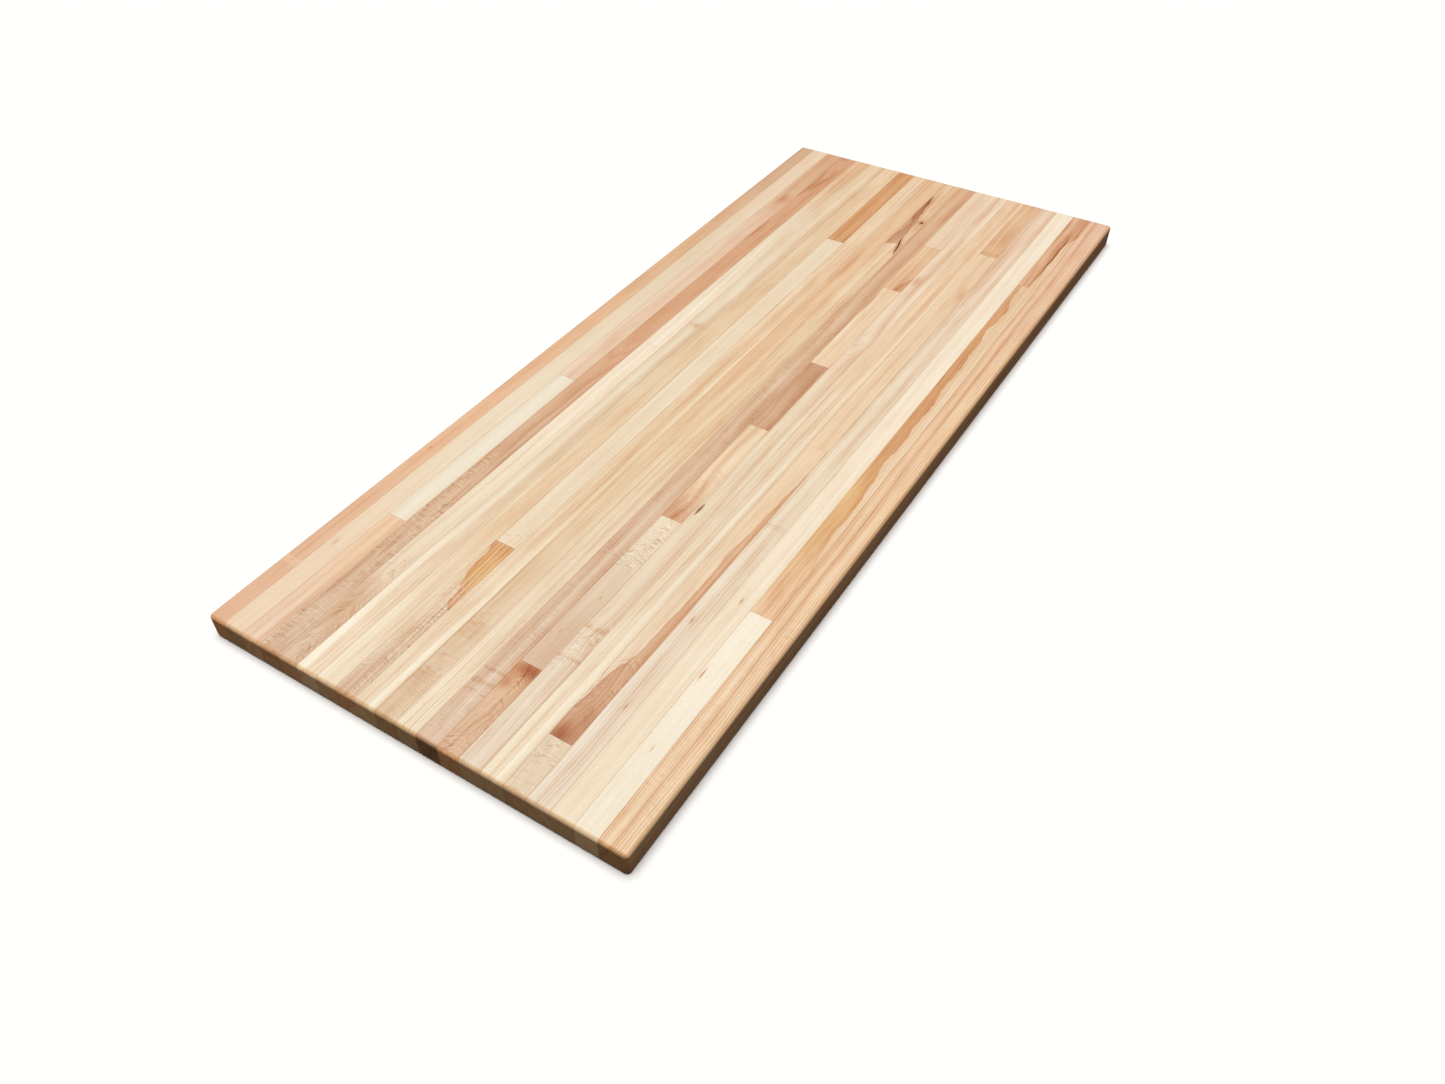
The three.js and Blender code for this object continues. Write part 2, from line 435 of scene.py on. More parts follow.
def growth_rings_group():
    """Growth rings round a leaning, wandering pith line: broad bands and thin latewood lines."""
    w, (local, pith, lean, ring_width, wander, seed) = new_group({
        "Local": ORIGIN, "Pith": ORIGIN, "Lean": ORIGIN,
        "Ring Width": 0.003, "Wander": 0.003, "Seed": 0.0,
    })
    noise = w.noise_outputs(local, (2.6, 16.0, 16.0), w.join(seed, seed, 0.0), 2.0)["Color"]
    sway = w.vector("MULTIPLY", w.vector("SUBTRACT", noise, HALVES), w.join(0.0, wander, wander))
    swayed = w.vector("ADD", local, sway)
    run = w.split(swayed)["X"]
    leaned = w.vector("MULTIPLY", lean, w.join(0.0, run, run))
    arm = w.vector("SUBTRACT", w.vector("SUBTRACT", swayed, pith), leaned)
    radius = w.vector("LENGTH", w.vector("MULTIPLY", arm, (0.0, 1.0, 1.0)))
    ring = w.add(w.div(radius, ring_width), seed)
    broad = w.noise_along(w.mul(ring, 0.23), detail=1.0)
    narrow = w.noise_along(w.mad(ring, 1.3, 40.0), roughness=0.7)
    part = w.math("FRACT", ring)
    strength = w.node("ShaderNodeTexWhiteNoise", {"W": w.math("FLOOR", ring)}, noise_dimensions="1D")
    line = w.math("MAXIMUM", w.math("POWER", part, 4.0), w.remap(part, 0.0, 0.10, 1.0, 0.0))
    lines = w.mul(line, w.remap(strength.outputs[0], 0.0, 1.0, 0.15, 1.0))
    return w.give(Bands=w.mad(narrow, 0.5, broad), Lines=lines)


def fibre_group():
    """Long fibres, fine fibres and pores, all drawn out along the board."""
    w, (local, seed) = new_group({"Local": ORIGIN, "Seed": 0.0})
    shift = w.join(seed, 0.0, seed)
    streaks = w.noise(local, (5.0, 210.0, 210.0), shift)
    fine = w.noise(local, (34.0, 900.0, 900.0), shift, detail=1.0)
    pores = w.noise(local, (260.0, 3400.0, 3400.0), shift, detail=0.0)
    return w.give(Streaks=streaks, Fine=fine, Pores=w.remap(pores, 0.75, 1.15))


def curl_group():
    """Curly figure over part of a board: bars and fine hatching across the grain, or chevrons if slanted."""
    w, (local, along, start, end, spacing, slant, seed) = new_group({
        "Local": ORIGIN, "Along": 0.0, "From": 0.0, "To": 1.0, "Spacing": 0.007, "Slant": 0.0, "Seed": 0.0,
    })
    shift = w.join(seed, 0.0, 0.0)
    x, y, _ = w.split(local)
    drift = w.noise(local, (30.0, 45.0, 20.0), shift, detail=1.0)
    folded = w.mad(w.math("ABSOLUTE", w.add(y, CHEVRON_OFFSET)), slant, x)
    turns = w.add(w.div(folded, spacing), w.mul(drift, 1.6))
    wave = w.math("SINE", w.mul(turns, math.tau))
    slid = w.join(folded, y, 0.0)
    hatch = w.noise(slid, (420.0, 45.0, 0.0), shift, detail=1.0)
    coarse_hatch = w.noise(slid, (150.0, 70.0, 0.0), shift, detail=1.0)
    figure = w.mad(wave, 0.45, w.add(hatch, coarse_hatch))
    patches = w.remap(w.noise(local, (18.0, 45.0, 0.0), shift), -0.4, 0.5)
    rise = w.remap(along, start, w.add(start, 2.0), smooth=True)
    fall = w.remap(along, w.sub(end, 1.0), end, 1.0, 0.0, smooth=True)
    return w.give(Curl=w.mul(figure, w.mul(w.mul(rise, fall), patches)))


def cross_bar_group():
    """One mark straight across the grain, with a ragged edge."""
    w, (local, along, place, width) = new_group({
        "Local": ORIGIN, "Along": 0.0, "Place": 0.0, "Width": 1.0,
    })
    ragged = w.noise(local, (90.0, 170.0, 60.0), detail=1.0)
    off = w.math("ABSOLUTE", w.mad(ragged, 0.10, w.sub(along, place)))
    bar = w.remap(w.div(off, w.mul(width, 0.5)), 0.75, 1.15, 1.0, 0.0, smooth=True)
    streaky = w.remap(w.noise(local, (160.0, 60.0, 60.0)), -0.8, 0.8, 0.3, 1.0)
    return w.give(Bar=w.mul(bar, streaky))


def groove_stain_group():
    """The dark lining of a groove that runs at a slant and sways, and the stain beside it. The lining is
    bark colour in a bark seam and painted shade inside an open slit.
    """
    w, (along, across, start, end, start_side, end_side, sway, sway_length, half_width) = new_group({
        "Along": 0.0, "Across": 0.0, "From": 0.0, "To": 1.0, "Start Side": 0.0, "End Side": 0.0,
        "Sway": 0.0, "Sway Length": 1.0, "Half Width": 0.02,
    })
    share = w.remap(along, start, end)
    line = w.mad(w.sub(end_side, start_side), share, start_side)
    turn = w.div(w.sub(along, start), sway_length)
    line = w.mad(w.math("SINE", w.mul(turn, math.tau)), sway, line)
    taper = w.math("SINE", w.mul(share, math.pi))
    reach = w.math("MAXIMUM", w.mul(half_width, taper), 0.0001)
    off = w.div(w.math("ABSOLUTE", w.sub(across, line)), reach)
    lining = w.remap(off, 0.7, 1.5, 1.0, 0.0, smooth=True)
    return w.give(Lining=lining, Stain=w.remap(off, 1.0, 7.0, 1.0, 0.0, smooth=True))


def from_slab_middle(w, local, middle):
    """How far a point is from the middle of the slab, along and across."""
    return w.split(w.vector("ABSOLUTE", w.vector("ADD", local, middle)))


def seam_group():
    """The hair line of glue at a plank's glued sides and ends."""
    w, (local, middle, half_size) = new_group({"Local": ORIGIN, "Middle": ORIGIN, "Half Size": UNIT})
    off = w.split(w.vector("SUBTRACT", half_size, w.vector("ABSOLUTE", local)))
    place = from_slab_middle(w, local, middle)
    glue = []
    for axis, half in (("Y", HALF_WIDTH), ("X", HALF_LENGTH)):
        inside = w.math("LESS_THAN", place[axis], half - GLUE_MARGIN)
        glue.append(w.mul(w.remap(off[axis], GLUE_CORE, GLUE_REACH, 1.0, 0.0), inside))
    return w.give(Glue=w.math("MAXIMUM", *glue))


def roundover_shade_group():
    """Painted shade on the slab's rim, darkening the roundovers and the sawn ends, and a mask of the sawn
    end past the rim.
    """
    w, (local, middle, shade_rim_width) = new_group({"Local": ORIGIN, "Middle": ORIGIN, "Rim Width": 0.006})
    place = from_slab_middle(w, local, middle)
    over_end = w.remap(place["X"], w.sub(HALF_LENGTH, shade_rim_width), HALF_LENGTH)
    over_side = w.remap(place["Y"], w.sub(HALF_WIDTH, shade_rim_width), HALF_WIDTH)
    # Painted shade: full over the end roundovers and the sawn ends, half across the long roundovers, none on
    # the long sides
    end_shade_rim = w.remap(over_end, 0.0, 0.4, smooth=True)
    side_shade_rim = w.remap(over_side, 0.0, 0.4, 0.0, 0.5, smooth=True)
    side_shade_rim = w.mul(side_shade_rim, w.remap(over_side, 0.75, 1.0, 1.0, 0.0))
    return w.give(Rim=w.math("MAXIMUM", end_shade_rim, side_shade_rim), End=w.remap(over_end, 0.3, 1.0))


def absorb(w, colour, amount, kept):
    """Darkens and warms a colour as if light went through the given amount of tinted oil."""
    powers = [w.math("POWER", share, amount) for share in kept]
    return w.vector("MULTIPLY", colour, w.join(*powers))


def damped(w, value, below):
    """The value, with what is under zero weakened."""
    return w.math("MAXIMUM", value, w.mul(value, below))


def maple_finish_group():
    """Turns the figure of the wood into colour, roughness and surface height."""
    w, (
        local, tone, contrast, bands, lines, line_strength, streaks, fine, pores, curl, stain, glue,
        lining, rim, end, end_brightness, roughness, seed,
    ) = new_group({
        "Local": ORIGIN, "Tone": (1, 1, 1, 1), "Contrast": 1.0,
        "Bands": 0.0, "Lines": 0.0, "Line Strength": 1.0, "Streaks": 0.0, "Fine": 0.0, "Pores": 0.0,
        "Curl": 0.0, "Stain": 0.0, "Glue": 0.0, "Lining": 0.0, "Rim": 0.0, "End": 0.0,
        "End Brightness": 1.0, "Roughness": 0.45, "Seed": 0.0,
    })
    shift = w.join(seed, seed, 0.0)
    cloud = w.noise(local, (9.0, 40.0, 40.0), shift)
    line = w.mul(w.sub(lines, MEAN_LINE), line_strength)
    figure = w.mul(bands, 0.22)
    for part, strength in ((line, 0.42), (streaks, 0.17), (fine, 0.10), (cloud, 0.14)):
        figure = w.mad(part, strength, figure)
    figure = w.mad(figure, contrast, stain)
    colour = absorb(w, tone, damped(w, figure, 0.5), FIGURE_TINT)
    colour = absorb(w, colour, damped(w, curl, 0.4), CURL_TINT)
    colour = absorb(w, colour, w.mul(pores, 0.30), PORE_TINT)
    colour = absorb(w, colour, w.mul(glue, 0.35), GLUE_TINT)
    # Painted shade on the roundovers and the sawn ends
    colour = absorb(w, colour, rim, ROUNDOVER_SHADE_TINT)
    brightness = w.remap(end, 0.0, 1.0, 1.0, end_brightness)
    colour = w.vector("MULTIPLY", colour, w.join(brightness, brightness, brightness))
    # Bark colour in the bark seams and the knot, painted shade inside the open slit
    colour = w.blend(lining, colour, BARK_AND_SLIT_SHADE)
    rough = w.mad(w.noise(local, (9.0, 12.0, 12.0), shift, detail=3.0), 0.03, roughness)
    rough = w.mad(end, 0.15, w.mad(fine, 0.03, rough))
    rough = w.math("MULTIPLY_ADD", lining, 0.4, rough, clamp=True)
    height = w.mad(pores, -1.0, w.mul(fine, 0.25))
    return w.give(Color=colour, Roughness=rough, Height=height)


def sum_of(w, values):
    total = 0.0
    for value in values:
        total = w.add(total, value)
    return total


def heartwood_edge(w, along, points):
    """The edge of a heartwood patch across the board, through given (along, across) points."""
    level = points[0][1]
    for (start, before), (end, after) in zip(points, points[1:]):
        level = w.add(level, w.remap(along, start, end, 0.0, after - before, smooth=True))
    return level


def fading(w, along, names, start, end):
    """Named tones that fade into one another at equal steps between two places."""
    tones = [linear(TONES[name]) for name in names.split()]
    made = w.node("ShaderNodeRGB")
    made.outputs[0].default_value = tones[0]
    colour = made.outputs[0]
    step = (end - start) / max(len(tones) - 1, 1)
    for number, tone in enumerate(tones[1:]):
        share = w.remap(along, start + step * number, start + step * (number + 1), smooth=True)
        colour = w.blend(share, colour, tone)
    return colour


def plank_tone(w, look, where, seed, far_end, near_end):
    """The base colour, tones fading into one another along the board, and a mask of any heartwood."""
    local = where["Local"]
    drift = w.noise(local, (3.0, 26.0, 26.0), (seed, 0.0, 0.0), detail=1.0)
    along = w.mad(drift, 2.5, where["Along"])
    colour = fading(w, along, look["tones"], far_end, near_end)
    if look["heart"] is None:
        return colour, 0.0
    side, heart_tones, points, waves = look["heart"]
    wavy = w.noise(local, (11.0, 0.0, 0.0), (seed, 5.0, 0.0), detail=3.0)
    edge = w.mad(wavy, waves, heartwood_edge(w, where["Along"], points))
    soft = w.noise(local, (10.0, 260.0, 260.0), detail=1.0)
    past_edge = w.mad(soft, 0.06, w.mul(w.sub(where["Across"], edge), float(side)))
    mask = w.remap(past_edge, -0.06, 0.12, smooth=True)
    rim = w.mul(mask, w.remap(past_edge, 0.05, 0.35, 0.18, 0.0, smooth=True))
    heart = fading(w, along, heart_tones, points[0][0], points[-1][0])
    return w.blend(mask, colour, absorb(w, heart, rim, FIGURE_TINT)), mask


def groove_inputs(groove, half_width):
    _, start, end, opening, _, sway, sway_length = groove
    return {
        "From": start[0], "To": end[0], "Start Side": start[1], "End Side": end[1],
        "Sway": sway * MM / half_width, "Sway Length": sway_length,
        "Half Width": opening * MM / 2 / half_width,
    }


def maple_material(node_name, low, high, finish):
    """One plank's own cut of maple."""
    look = PLANK_LOOKS[node_name]
    seed = float(random.Random(node_name).randint(10, 900))
    middle = (low + high) / 2
    half = (high - low) / 2
    material = bpy.data.materials.new("maple_" + node_name)
    w = emptied(material)
    where = w.group(board_position_group, {"Middle": middle, "Half Size": half})
    local = where["Local"]
    on_board = {"Along": where["Along"], "Across": where["Across"]}

    def spot(place, side, length, width):
        inputs = {**on_board, "Place": place, "Side": side, "Length": length, "Width": width}
        return w.group(spot_group, inputs)["Spot"]

    swayed = local
    for place, side, length, width, push in look["swirls"]:
        moved = w.join(0.0, w.mul(spot(place, side, length, width), push * MM), 0.0)
        swayed = w.vector("ADD", swayed, moved)
    pith_across, pith_up = look["pith"]
    rings = w.group(growth_rings_group, {
        "Local": swayed, "Pith": (0.0, pith_across * MM, pith_up * MM),
        "Lean": (0.0, look["lean"] * MM, look["lean_up"] * MM),
        "Ring Width": look["rings"] * MM, "Wander": finish.grain_wander, "Seed": seed,
    })
    fibre = w.group(fibre_group, {"Local": swayed, "Seed": seed})

    curls = []
    for start, end, spacing, strength, slant in look["curl"]:
        curl = w.group(curl_group, {
            "Local": local, "Along": where["Along"], "From": start, "To": end,
            "Spacing": spacing * MM, "Slant": slant, "Seed": seed,
        })
        curls.append(w.mul(curl["Curl"], strength))
    stains = []
    for place, width, strength in look["bars"]:
        inputs = {"Local": local, "Along": where["Along"], "Place": place, "Width": width}
        stains.append(w.mul(w.group(cross_bar_group, inputs)["Bar"], strength * 0.6))
    for place, side, length, width, strength in look["stains"]:
        stains.append(w.mul(spot(place, side, length, width), strength))
    # Dark linings: bark in the seams and the knot, painted shade inside the open slit
    linings = []
    for groove in GROOVES.values():
        if groove[0] == node_name:
            made = w.group(groove_stain_group, {**on_board, **groove_inputs(groove, half.y)})
            linings.append(made["Lining"])
            stains.append(w.mul(made["Stain"], 0.5))
    for plank, place, side, radius, _ in PIN_KNOTS.values():
        if plank == node_name:
            length = radius * MM / INCH
            width = radius * MM / half.y
            linings.append(w.remap(spot(place, side, length, width), 0.25, 0.6, smooth=True))
            stains.append(w.mul(spot(place, side, 2.4 * length, 2.4 * width), 0.8))

    far_end = (HALF_LENGTH - high.x) / INCH
    near_end = (HALF_LENGTH - low.x) / INCH
    tone, heartwood = plank_tone(w, look, where, seed, far_end, near_end)
    strength = finish.grain_contrast
    figure = {
        "Local": local, "Tone": tone, "Seed": seed, "Roughness": finish.roughness,
        "Contrast": w.mad(heartwood, 0.8 * strength, look["contrast"] * strength),
        "Line Strength": look["lines"], "End Brightness": look["end"],
        "Curl": sum_of(w, curls), "Stain": sum_of(w, stains), "Lining": sum_of(w, linings),
    }
    glue = w.group(seam_group, {"Local": local, "Middle": middle, "Half Size": half})
    # Painted shade on the slab's roundovers and sawn ends
    rim = w.group(roundover_shade_group, {"Local": local, "Middle": middle, "Rim Width": finish.shade_rim_width})
    for made in (rings, fibre, glue, rim):
        figure.update(made.items())
    wood = w.group(maple_finish_group, figure)
    bump = w.node("ShaderNodeBump", {
        "Height": wood["Height"], "Strength": finish.pore_strength, "Distance": finish.pore_depth,
    })
    surface = w.node("ShaderNodeBsdfPrincipled", {
        "Base Color": wood["Color"], "Roughness": wood["Roughness"], "Normal": bump.outputs[0],
        "IOR": WOOD_IOR,
    })
    w.node("ShaderNodeOutputMaterial", {"Surface": surface.outputs[0]})
    return material


# --- Planks, as Geometry Nodes ---


def crowded(w, share, part, zone, size):
    """Spreads grid lines from 0 to size, with the given part of them inside a zone at each end."""
    inner = w.sub(1.0, part)
    middle = w.sub(size, w.mul(zone, 2.0))
    place = w.add(w.remap(share, 0.0, part, 0.0, zone), w.remap(share, part, inner, 0.0, middle))
    return w.add(place, w.remap(share, inner, 1.0, 0.0, zone))


def square_to_round(w, first, second):
    """How much a corner offset (first, second) shrinks when the square corner is made round."""
    longest = w.math("MAXIMUM", first, second)
    reach = w.math("SQRT", w.add(w.mul(first, first), w.mul(second, second)))
    return w.div(longest, w.math("MAXIMUM", reach, TINY))


def past(w, value, limit):
    """How far the size of a value is past a limit."""
    return w.math("MAXIMUM", w.sub(w.math("ABSOLUTE", value), limit), 0.0)


def plank_tree():
    """A plank: a block between two corners, shaped by the slab's rounded outside where it meets it."""
    w, (
        low, high, rows_along, rows_across, rows_up, zone_rows, side_zone_rows, side_zone,
        half_length, half_width, thickness, corner_radius, edge_radius, unevenness,
        seam_low, seam_high, seam_ease, material,
    ) = new_group({
        "Low": ORIGIN, "High": ORIGIN, "Rows Along": 40, "Rows Across": 8, "Rows Up": 20,
        "Zone Rows": 10, "Side Zone Rows": 2, "Side Zone": 0.001,
        "Half Length": 1.0, "Half Width": 1.0, "Thickness": 0.04,
        "Corner Radius": 0.006, "Edge Radius": 0.003, "Edge Unevenness": 0.0,
        "Seam Low": ORIGIN, "Seam High": ORIGIN, "Seam Ease": 0.0001, "Material": None,
    }, "GeometryNodeTree")
    lines = [w.add(rows, 1.0) for rows in (rows_along, rows_across, rows_up)]
    block = w.node("GeometryNodeMeshCube", {
        "Size": UNIT, "Vertices X": lines[0], "Vertices Y": lines[1], "Vertices Z": lines[2],
    })
    share = w.split(w.vector("ADD", w.node("GeometryNodeInputPosition").outputs[0], HALVES))
    size = w.split(w.vector("SUBTRACT", high, low))
    top_zone = w.mul(edge_radius, 1.25)
    spread = w.join(
        crowded(w, share["X"], w.div(zone_rows, rows_along), corner_radius, size["X"]),
        crowded(w, share["Y"], w.div(side_zone_rows, rows_across), side_zone, size["Y"]),
        crowded(w, share["Z"], w.div(zone_rows, rows_up), top_zone, size["Z"]),
    )
    at = w.vector("ADD", low, spread)
    x, y, z = w.split(at)

    # Upright corners of the slab
    out_x = past(w, x, w.sub(half_length, corner_radius))
    out_y = past(w, y, w.sub(half_width, corner_radius))
    corner = square_to_round(w, out_x, out_y)
    out = w.math("MAXIMUM", out_x, out_y)

    # Roundover along the top and bottom edges, a little uneven as if eased by hand
    radius = w.mad(w.noise(at, (9.0, 9.0, 40.0)), unevenness, edge_radius)
    half_up = w.mul(thickness, 0.5)
    up = w.sub(z, half_up)
    over_edge = w.math("MAXIMUM", w.sub(out, w.sub(corner_radius, radius)), 0.0)
    over_top = past(w, up, w.sub(half_up, radius))
    edge = square_to_round(w, over_edge, over_top)
    pulled_in = w.mul(over_edge, w.sub(1.0, edge))
    shrink = w.mul(corner, w.div(w.sub(out, pulled_in), w.math("MAXIMUM", out, TINY)))
    inward = w.sub(shrink, 1.0)
    move_x = w.mul(w.math("SIGN", x), w.mul(out_x, inward))
    move_y = w.mul(w.math("SIGN", y), w.mul(out_y, inward))
    drop = w.mul(over_top, w.sub(edge, 1.0))

    # The top and bottom edges of glued faces are eased by a hair
    gaps = [w.split(w.vector("SUBTRACT", *ends)) for ends in ((at, seam_low), (seam_high, at))]
    gap = w.math("MINIMUM", *[w.math("MINIMUM", gap["X"], gap["Y"]) for gap in gaps])
    near_seam = w.math("LESS_THAN", gap, SEAM_TOUCH)
    on_face = w.math("GREATER_THAN", w.math("ABSOLUTE", up), w.sub(half_up, FACE_TOUCH))
    drop = w.sub(drop, w.mul(w.mul(near_seam, on_face), seam_ease))

    placed = w.node("GeometryNodeSetPosition", {
        "Geometry": block.outputs["Mesh"], "Position": at,
        "Offset": w.join(move_x, move_y, w.mul(w.math("SIGN", up), drop)),
    })
    real = w.node("GeometryNodeRealizeInstances", {"Geometry": placed.outputs[0]})
    finished = w.node("GeometryNodeSetMaterial", {"Geometry": real.outputs[0], "Material": material})
    return w.give(Geometry=finished.outputs[0])


def evaluated_mesh(carrier):
    """The carrier's mesh with its modifiers made real."""
    depsgraph = bpy.context.evaluated_depsgraph_get()
    return bpy.data.meshes.new_from_object(carrier.evaluated_get(depsgraph))


def mesh_from_nodes(name, tree, values):
    """Runs a Geometry Nodes tree once, and keeps the result as a plain mesh object."""
    carrier = add_object(name, bpy.data.meshes.new(name))
    modifier = carrier.modifiers.new("Shape", "NODES")
    modifier.node_group = tree
    for item in tree.interface.items_tree:
        if item.in_out == "INPUT":
            modifier[item.identifier] = values[item.name]
    mesh = evaluated_mesh(carrier)
    carrier.modifiers.clear()
    carrier.data = mesh
    mesh.name = name
    return carrier


def plank_values(low, high, shape, material):
    """The tree's inputs for one plank, from its CAD box."""
    closing = shape.seam_closing
    outside_x = [abs(v.x) > HALF_LENGTH - MM for v in (low, high)]
    outside_y = [abs(v.y) > HALF_WIDTH - MM for v in (low, high)]
    low = Vector((low.x - closing * (not outside_x[0]), low.y - closing * (not outside_y[0]), low.z))
    high = Vector((high.x + closing * (not outside_x[1]), high.y + closing * (not outside_y[1]), high.z))
    side_rows = shape.corner_rows if any(outside_y) else 2
    side_zone = shape.corner_radius if any(outside_y) else 0.25 * MM
    return {
        "Low": low, "High": high,
        "Rows Along": 2 * shape.corner_rows + shape.middle_rows,
        "Rows Across": 2 * side_rows + 4,
        "Rows Up": 2 * shape.corner_rows + 4,
        "Zone Rows": shape.corner_rows, "Side Zone Rows": side_rows, "Side Zone": side_zone,
        "Half Length": HALF_LENGTH, "Half Width": HALF_WIDTH, "Thickness": THICKNESS,
        "Corner Radius": shape.corner_radius, "Edge Radius": shape.edge_radius,
        "Edge Unevenness": shape.edge_unevenness, "Seam Ease": shape.seam_ease,
        "Seam Low": low - Vector((FAR * outside_x[0], FAR * outside_y[0], FAR)),
        "Seam High": high + Vector((FAR * outside_x[1], FAR * outside_y[1], FAR)),
        "Material": material,
    }


def smooth_rounded_edges(mesh):
    """Shades the roundovers smooth and keeps the sawn arrises sharp."""
    mesh.polygons.foreach_set("use_smooth", [True] * len(mesh.polygons))
    mesh.set_sharp_from_angle(angle=math.radians(25))


# --- Grooves and knots, cut out of the planks ---


def mesh_object(name, points, faces, material):
    mesh = bpy.data.meshes.new(name)
    mesh.from_pydata(points, [], faces)
    mesh.validate()
    mesh.materials.append(material)
    return add_object(name, mesh)


def groove_cutter(name, groove, middle_y, half_y, material):
    """A swaying wedge that tapers to nothing at both ends."""
    _, start, end, opening, depth, sway, sway_length = groove
    stations = 48
    wander = random.Random(name)
    over = 1 * MM
    points = []
    for step in range(stations + 1):
        share = step / stations
        along = start[0] + (end[0] - start[0]) * share
        x = HALF_LENGTH - along * INCH
        turn = math.sin(math.tau * (along - start[0]) / sway_length)
        y = middle_y + half_y * (start[1] + (end[1] - start[1]) * share) + sway * MM * turn
        swell = max(math.sin(math.pi * share), 0.02) ** 0.7
        half_open = opening * MM / 2 * swell * wander.uniform(0.75, 1.0)
        deep = depth * MM * swell
        flare = half_open * (deep + over) / deep
        points.append((x, y - flare, THICKNESS + over))
        points.append((x, y, THICKNESS - deep))
        points.append((x, y + flare, THICKNESS + over))
    faces = [(0, 2, 1)]
    for a in range(0, 3 * stations, 3):
        b = a + 3
        faces.append((a, a + 1, b + 1, b))
        faces.append((a + 1, a + 2, b + 2, b + 1))
        faces.append((a + 2, a, b, b + 2))
    last = 3 * stations
    faces.append((last, last + 1, last + 2))
    return mesh_object(name, points, faces, material)


def knot_cutter(name, knot, middle_y, half_y, material):
    """An uneven bowl."""
    _, along, across, radius, depth = knot
    spokes = 20
    levels = 5
    wander = random.Random(name)
    reach = [wander.uniform(0.82, 1.0) for _ in range(spokes)]
    x = HALF_LENGTH - along * INCH
    y = middle_y + across * half_y
    points = []
    for level in range(levels):
        turn = math.pi / 2 * level / levels
        z = THICKNESS - depth * MM * math.sin(turn)
        for spoke in range(spokes):
            angle = math.tau * spoke / spokes
            out = radius * MM * reach[spoke] * math.cos(turn)
            points.append((x + out * math.cos(angle), y + out * math.sin(angle), z))
    rim = [(px, py, THICKNESS + MM) for px, py, _ in points[:spokes]]
    points = rim + points + [(x, y, THICKNESS - depth * MM)]
    bottom = len(points) - 1
    faces = [tuple(range(spokes))]
    for level in range(levels + 1):
        for spoke in range(spokes):
            a = level * spokes + spoke
            b = level * spokes + (spoke + 1) % spokes
            below = (bottom,) if level == levels else (a + spokes, b + spokes)
            faces.append((b, a, *below))
    return mesh_object(name, points, faces, material)


def cut(plank, cutter):
    """Takes the cutter's shape out of a plank, for good."""
    modifier = plank.modifiers.new("Cut", "BOOLEAN")
    modifier.operation = "DIFFERENCE"
    modifier.solver = "EXACT"
    modifier.object = cutter
    mesh = evaluated_mesh(plank)
    plank.modifiers.clear()
    plank.data = mesh
    bpy.data.objects.remove(cutter)


def cut_defects(plank, node_name, low, high, material):
    """Cuts this plank's grooves and knots, if it has any."""
    middle_y = (low.y + high.y) / 2
    half_y = (high.y - low.y) / 2
    for cutter, defects in ((groove_cutter, GROOVES), (knot_cutter, PIN_KNOTS)):
        for name, defect in defects.items():
            if defect[0] == node_name:
                cut(plank, cutter(name, defect, middle_y, half_y, material))


def make_planks(context, node_names):
    """Builds the finished planks that stand for these CAD nodes."""
    shape = context.scene.butcher_block_shape
    finish = context.scene.butcher_block_finish
    tree = shared_group(plank_tree)
    for node_name in node_names:
        low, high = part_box(node_name)
        material = maple_material(node_name, low, high, finish)
        plank = mesh_from_nodes("maple_" + node_name, tree, plank_values(low, high, shape, material))
        cut_defects(plank, node_name, low, high, material)
        smooth_rounded_edges(plank.data)
        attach(plank, "root")
        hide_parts(node_name)


# --- Studio ---


def seen_or_lit(w, seen, lit):
    """One colour for what the camera sees directly, and another for what lights the wood."""
    ray = w.node("ShaderNodeLightPath").outputs["Is Camera Ray"]
    return w.blend(ray, (*lit, 1), (*seen, 1))


def make_floor(studio):
    material = bpy.data.materials.new("studio_floor")
    w = emptied(material)
    colour = seen_or_lit(w, studio.floor_colour, studio.floor_bounce)
    surface = w.node("ShaderNodeBsdfDiffuse", {"Color": colour})
    w.node("ShaderNodeOutputMaterial", {"Surface": surface.outputs[0]})
    reach = studio.floor_reach
    corners = [(-reach, -reach, 0), (reach, -reach, 0), (reach, reach, 0), (-reach, reach, 0)]
    mesh_object("studio_floor", corners, [(0, 1, 2, 3)], material)


def make_light(name, strength, direction, softness):
    """A soft light from far away, so the whole floor is lit alike."""
    data = bpy.data.lights.new(name, "SUN")
    data.energy = strength
    data.angle = softness
    light = add_object(name, data)
    light.rotation_euler = Vector(direction).to_track_quat("Z", "Y").to_euler()


def make_world(studio):
    world = bpy.data.worlds.new("studio_world")
    w = emptied(world)
    colour = seen_or_lit(w, studio.backdrop_colour, studio.fill_colour)
    surface = w.node("ShaderNodeBackground", {"Color": colour, "Strength": 1.0})
    w.node("ShaderNodeOutputWorld", {"Surface": surface.outputs[0]})
    bpy.context.scene.world = world


def make_camera(studio):
    data = bpy.data.cameras.new("studio_camera")
    data.sensor_width = 36.0
    data.lens = studio.lens
    data.shift_x, data.shift_y = studio.shift
    data.clip_start = 0.05
    data.clip_end = 200.0
    camera = add_object("studio_camera", data)
    camera.location = studio.camera_place
    camera.rotation_euler = studio.camera_turn
    bpy.context.scene.camera = camera


# --- Settings, operators and panel ---


